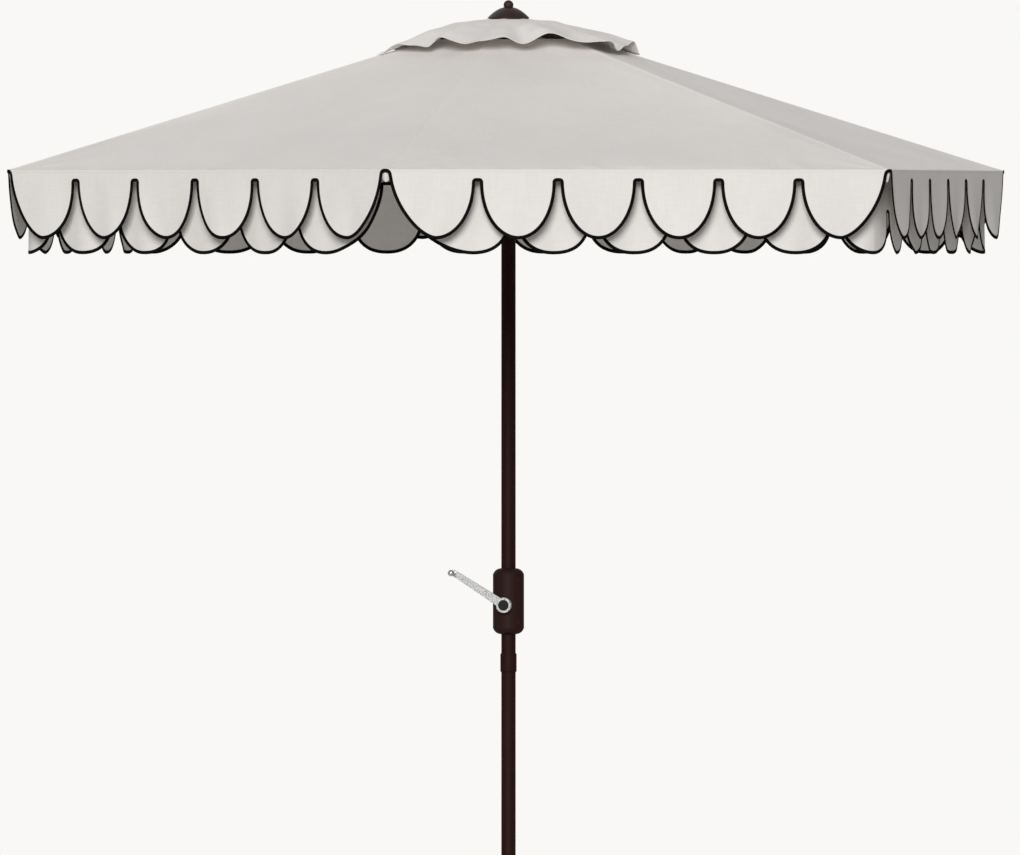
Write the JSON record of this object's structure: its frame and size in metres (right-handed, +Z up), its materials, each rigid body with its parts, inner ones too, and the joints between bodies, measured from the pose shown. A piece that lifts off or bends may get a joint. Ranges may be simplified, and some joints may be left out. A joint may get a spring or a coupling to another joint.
{
  "type": "crank patio umbrella",
  "caption": "Tall crank-opened market umbrella: hexagonal cloth canopy on folding ribs, ruffled vent cap, double scalloped valance with bound edges, slim two-part pole with crank housing.",
  "frame": {"origin": "centre of the lower pole's foot, on the ground when the pole stands on it", "axes": "+Z up the pole; -Y is the side that rib 1 and the crank face"},
  "size_m": [2.373, 2.74, 2.45],
  "materials": {
    "pole_bronze": "satin powder coat, dark bronze",
    "housing_bronze": "satin moulded, dark bronze",
    "frame_bronze": "satin powder coat, dark bronze",
    "black_plastic": "fine moulded texture",
    "nylon": "smooth nylon",
    "steel": "zinc-plated",
    "crank_silver": "hammered silver",
    "chrome": "polished",
    "rope": "braided cord",
    "canopy_cloth": "plain-woven ivory polyester",
    "valance_cloth": "plain-woven ivory polyester with black bound edges"
  },
  "bodies": {
    "lower": {"lower_pole": "pole_bronze", "foot_plug": "black_plastic", "coupler": "pole_bronze"},
    "mast": {"upper_pole": "pole_bronze", "housing_front": "housing_bronze", "housing_back": "housing_bronze", "housing_screws": "steel", "lift_cord": "rope", "top_hub": "black_plastic", "mast_pins": "steel", "finial": "frame_bronze"},
    "runner": {"runner": "black_plastic", "runner_pins": "steel"},
    "crank": {"crank_spool": "steel", "crank_handle": "crank_silver", "crank_cap": "black_plastic"},
    "knob": {"crank_knob": "chrome"},
    "pulley": {"pulley": "nylon"},
    "rib_1": {"rib_1": "frame_bronze", "rib_joint_1": "black_plastic", "canopy_1": "canopy_cloth", "vent_1": "canopy_cloth"},
    "strut_1": {"strut_1": "frame_bronze"},
    "valance_left_1": {"valance_left_1": "valance_cloth"},
    "valance_right_1": {"valance_right_1": "valance_cloth"},
    "rib_2": {"rib_2": "frame_bronze", "rib_joint_2": "black_plastic", "canopy_2": "canopy_cloth", "vent_2": "canopy_cloth"},
    "strut_2": {"strut_2": "frame_bronze"},
    "valance_left_2": {"valance_left_2": "valance_cloth"},
    "valance_right_2": {"valance_right_2": "valance_cloth"},
    "rib_3": {"rib_3": "frame_bronze", "rib_joint_3": "black_plastic", "canopy_3": "canopy_cloth", "vent_3": "canopy_cloth"},
    "strut_3": {"strut_3": "frame_bronze"},
    "valance_left_3": {"valance_left_3": "valance_cloth"},
    "valance_right_3": {"valance_right_3": "valance_cloth"},
    "rib_4": {"rib_4": "frame_bronze", "rib_joint_4": "black_plastic", "canopy_4": "canopy_cloth", "vent_4": "canopy_cloth"},
    "strut_4": {"strut_4": "frame_bronze"},
    "valance_left_4": {"valance_left_4": "valance_cloth"},
    "valance_right_4": {"valance_right_4": "valance_cloth"},
    "rib_5": {"rib_5": "frame_bronze", "rib_joint_5": "black_plastic", "canopy_5": "canopy_cloth", "vent_5": "canopy_cloth"},
    "strut_5": {"strut_5": "frame_bronze"},
    "valance_left_5": {"valance_left_5": "valance_cloth"},
    "valance_right_5": {"valance_right_5": "valance_cloth"},
    "rib_6": {"rib_6": "frame_bronze", "rib_joint_6": "black_plastic", "canopy_6": "canopy_cloth", "vent_6": "canopy_cloth"},
    "strut_6": {"strut_6": "frame_bronze"},
    "valance_left_6": {"valance_left_6": "valance_cloth"},
    "valance_right_6": {"valance_right_6": "valance_cloth"}
  },
  "joints": [
    {"name": "upper_section_lift", "type": "slide", "parent": "lower", "child": "mast", "axis": [0, 0, 1], "range_m": [0, 0.08]},
    {"name": "canopy_fold", "type": "hinge", "parent": "mast", "child": "rib_1", "pos_m": [0, -0.032, 2.3879], "axis": [1, 0, 0], "range_deg": [0, 69.34], "deforming": ["canopy_1", "canopy_2", "canopy_3", "canopy_4", "canopy_5", "canopy_6", "vent_1", "vent_2", "vent_3", "vent_4", "vent_5", "vent_6", "valance_left_1", "valance_left_2", "valance_left_3", "valance_left_4", "valance_left_5", "valance_left_6", "valance_right_1", "valance_right_2", "valance_right_3", "valance_right_4", "valance_right_5", "valance_right_6"]},
    {"name": "strut_1_fold", "type": "hinge", "parent": "rib_1", "child": "strut_1", "pos_m": [0, -0.60165, 2.19863], "axis": [-1, 0, 0], "range_deg": [0, 138.69]},
    {"name": "valance_left_1_drape", "type": "hinge", "parent": "rib_1", "child": "valance_left_1", "pos_m": [0, -1.37, 2], "axis": [-0.8545, 0.1174, -0.506], "range_deg": [0, 58.03]},
    {"name": "valance_right_1_drape", "type": "hinge", "parent": "rib_1", "child": "valance_right_1", "pos_m": [0, -1.37, 2], "axis": [-0.8545, -0.1174, 0.506], "range_deg": [0, 58.03]},
    {"name": "rib_2_fold", "type": "hinge", "parent": "mast", "child": "rib_2", "pos_m": [0.02771, -0.016, 2.3879], "axis": [0.5, 0.866, 0], "range_deg": [0, 69.34]},
    {"name": "strut_2_fold", "type": "hinge", "parent": "rib_2", "child": "strut_2", "pos_m": [0.52104, -0.30083, 2.19863], "axis": [-0.5, -0.866, 0], "range_deg": [0, 138.69]},
    {"name": "valance_left_2_drape", "type": "hinge", "parent": "rib_2", "child": "valance_left_2", "pos_m": [1.18646, -0.685, 2], "axis": [-0.5289, -0.6813, -0.506], "range_deg": [0, 58.03]},
    {"name": "valance_right_2_drape", "type": "hinge", "parent": "rib_2", "child": "valance_right_2", "pos_m": [1.18646, -0.685, 2], "axis": [-0.3256, -0.7987, 0.506], "range_deg": [0, 58.03]},
    {"name": "rib_3_fold", "type": "hinge", "parent": "mast", "child": "rib_3", "pos_m": [0.02771, 0.016, 2.3879], "axis": [-0.5, 0.866, 0], "range_deg": [0, 69.34]},
    {"name": "strut_3_fold", "type": "hinge", "parent": "rib_3", "child": "strut_3", "pos_m": [0.52104, 0.30083, 2.19863], "axis": [0.5, -0.866, 0], "range_deg": [0, 138.69]},
    {"name": "valance_left_3_drape", "type": "hinge", "parent": "rib_3", "child": "valance_left_3", "pos_m": [1.18646, 0.685, 2], "axis": [0.3256, -0.7987, -0.506], "range_deg": [0, 58.03]},
    {"name": "valance_right_3_drape", "type": "hinge", "parent": "rib_3", "child": "valance_right_3", "pos_m": [1.18646, 0.685, 2], "axis": [0.5289, -0.6813, 0.506], "range_deg": [0, 58.03]},
    {"name": "rib_4_fold", "type": "hinge", "parent": "mast", "child": "rib_4", "pos_m": [0, 0.032, 2.3879], "axis": [-1, 0, 0], "range_deg": [0, 69.34]},
    {"name": "strut_4_fold", "type": "hinge", "parent": "rib_4", "child": "strut_4", "pos_m": [0, 0.60165, 2.19863], "axis": [1, 0, 0], "range_deg": [0, 138.69]},
    {"name": "valance_left_4_drape", "type": "hinge", "parent": "rib_4", "child": "valance_left_4", "pos_m": [0, 1.37, 2], "axis": [0.8545, -0.1174, -0.506], "range_deg": [0, 58.03]},
    {"name": "valance_right_4_drape", "type": "hinge", "parent": "rib_4", "child": "valance_right_4", "pos_m": [0, 1.37, 2], "axis": [0.8545, 0.1174, 0.506], "range_deg": [0, 58.03]},
    {"name": "rib_5_fold", "type": "hinge", "parent": "mast", "child": "rib_5", "pos_m": [-0.02771, 0.016, 2.3879], "axis": [-0.5, -0.866, 0], "range_deg": [0, 69.34]},
    {"name": "strut_5_fold", "type": "hinge", "parent": "rib_5", "child": "strut_5", "pos_m": [-0.52104, 0.30083, 2.19863], "axis": [0.5, 0.866, 0], "range_deg": [0, 138.69]},
    {"name": "valance_left_5_drape", "type": "hinge", "parent": "rib_5", "child": "valance_left_5", "pos_m": [-1.18646, 0.685, 2], "axis": [0.5289, 0.6813, -0.506], "range_deg": [0, 58.03]},
    {"name": "valance_right_5_drape", "type": "hinge", "parent": "rib_5", "child": "valance_right_5", "pos_m": [-1.18646, 0.685, 2], "axis": [0.3256, 0.7987, 0.506], "range_deg": [0, 58.03]},
    {"name": "rib_6_fold", "type": "hinge", "parent": "mast", "child": "rib_6", "pos_m": [-0.02771, -0.016, 2.3879], "axis": [0.5, -0.866, 0], "range_deg": [0, 69.34]},
    {"name": "strut_6_fold", "type": "hinge", "parent": "rib_6", "child": "strut_6", "pos_m": [-0.52104, -0.30083, 2.19863], "axis": [-0.5, 0.866, 0], "range_deg": [0, 138.69]},
    {"name": "valance_left_6_drape", "type": "hinge", "parent": "rib_6", "child": "valance_left_6", "pos_m": [-1.18646, -0.685, 2], "axis": [-0.3256, 0.7987, -0.506], "range_deg": [0, 58.03]},
    {"name": "valance_right_6_drape", "type": "hinge", "parent": "rib_6", "child": "valance_right_6", "pos_m": [-1.18646, -0.685, 2], "axis": [-0.5289, 0.6813, 0.506], "range_deg": [0, 58.03]},
    {"name": "runner_slide", "type": "hinge", "parent": "strut_1", "child": "runner", "pos_m": [0, -0.032, 2.00936], "axis": [1, 0, 0], "range_deg": [0, 69.35]},
    {"name": "crank_turn", "type": "hinge", "parent": "mast", "child": "crank", "pos_m": [0, 0, 0.855], "axis": [0, -1, 0], "range_deg": [0, 3722.5]},
    {"name": "pulley_turn", "type": "hinge", "parent": "mast", "child": "pulley", "pos_m": [0, 0.0042, 2.328], "axis": [0, -1, 0], "range_deg": [0, 3722.5]},
    {"name": "knob_spin", "type": "hinge", "parent": "crank", "child": "knob", "pos_m": [-0.13569, -0.084, 0.93979], "axis": [0, -1, 0], "continuous": true}
  ],
  "couplings": [
    {"joint": "strut_1_fold", "follows": "canopy_fold", "ratio": 2},
    {"joint": "valance_left_1_drape", "follows": "canopy_fold", "ratio": 0.83661},
    {"joint": "valance_right_1_drape", "follows": "canopy_fold", "ratio": 0.83661},
    {"joint": "rib_2_fold", "follows": "canopy_fold", "ratio": 1},
    {"joint": "strut_2_fold", "follows": "canopy_fold", "ratio": 2},
    {"joint": "valance_left_2_drape", "follows": "canopy_fold", "ratio": 0.83661},
    {"joint": "valance_right_2_drape", "follows": "canopy_fold", "ratio": 0.83661},
    {"joint": "rib_3_fold", "follows": "canopy_fold", "ratio": 1},
    {"joint": "strut_3_fold", "follows": "canopy_fold", "ratio": 2},
    {"joint": "valance_left_3_drape", "follows": "canopy_fold", "ratio": 0.83661},
    {"joint": "valance_right_3_drape", "follows": "canopy_fold", "ratio": 0.83661},
    {"joint": "rib_4_fold", "follows": "canopy_fold", "ratio": 1},
    {"joint": "strut_4_fold", "follows": "canopy_fold", "ratio": 2},
    {"joint": "valance_left_4_drape", "follows": "canopy_fold", "ratio": 0.83661},
    {"joint": "valance_right_4_drape", "follows": "canopy_fold", "ratio": 0.83661},
    {"joint": "rib_5_fold", "follows": "canopy_fold", "ratio": 1},
    {"joint": "strut_5_fold", "follows": "canopy_fold", "ratio": 2},
    {"joint": "valance_left_5_drape", "follows": "canopy_fold", "ratio": 0.83661},
    {"joint": "valance_right_5_drape", "follows": "canopy_fold", "ratio": 0.83661},
    {"joint": "rib_6_fold", "follows": "canopy_fold", "ratio": 1},
    {"joint": "strut_6_fold", "follows": "canopy_fold", "ratio": 2},
    {"joint": "valance_left_6_drape", "follows": "canopy_fold", "ratio": 0.83661},
    {"joint": "valance_right_6_drape", "follows": "canopy_fold", "ratio": 0.83661},
    {"joint": "runner_slide", "follows": "canopy_fold", "ratio": 1},
    {"joint": "crank_turn", "follows": "canopy_fold", "ratio": 53.678},
    {"joint": "pulley_turn", "follows": "canopy_fold", "ratio": 53.678}
  ]
}
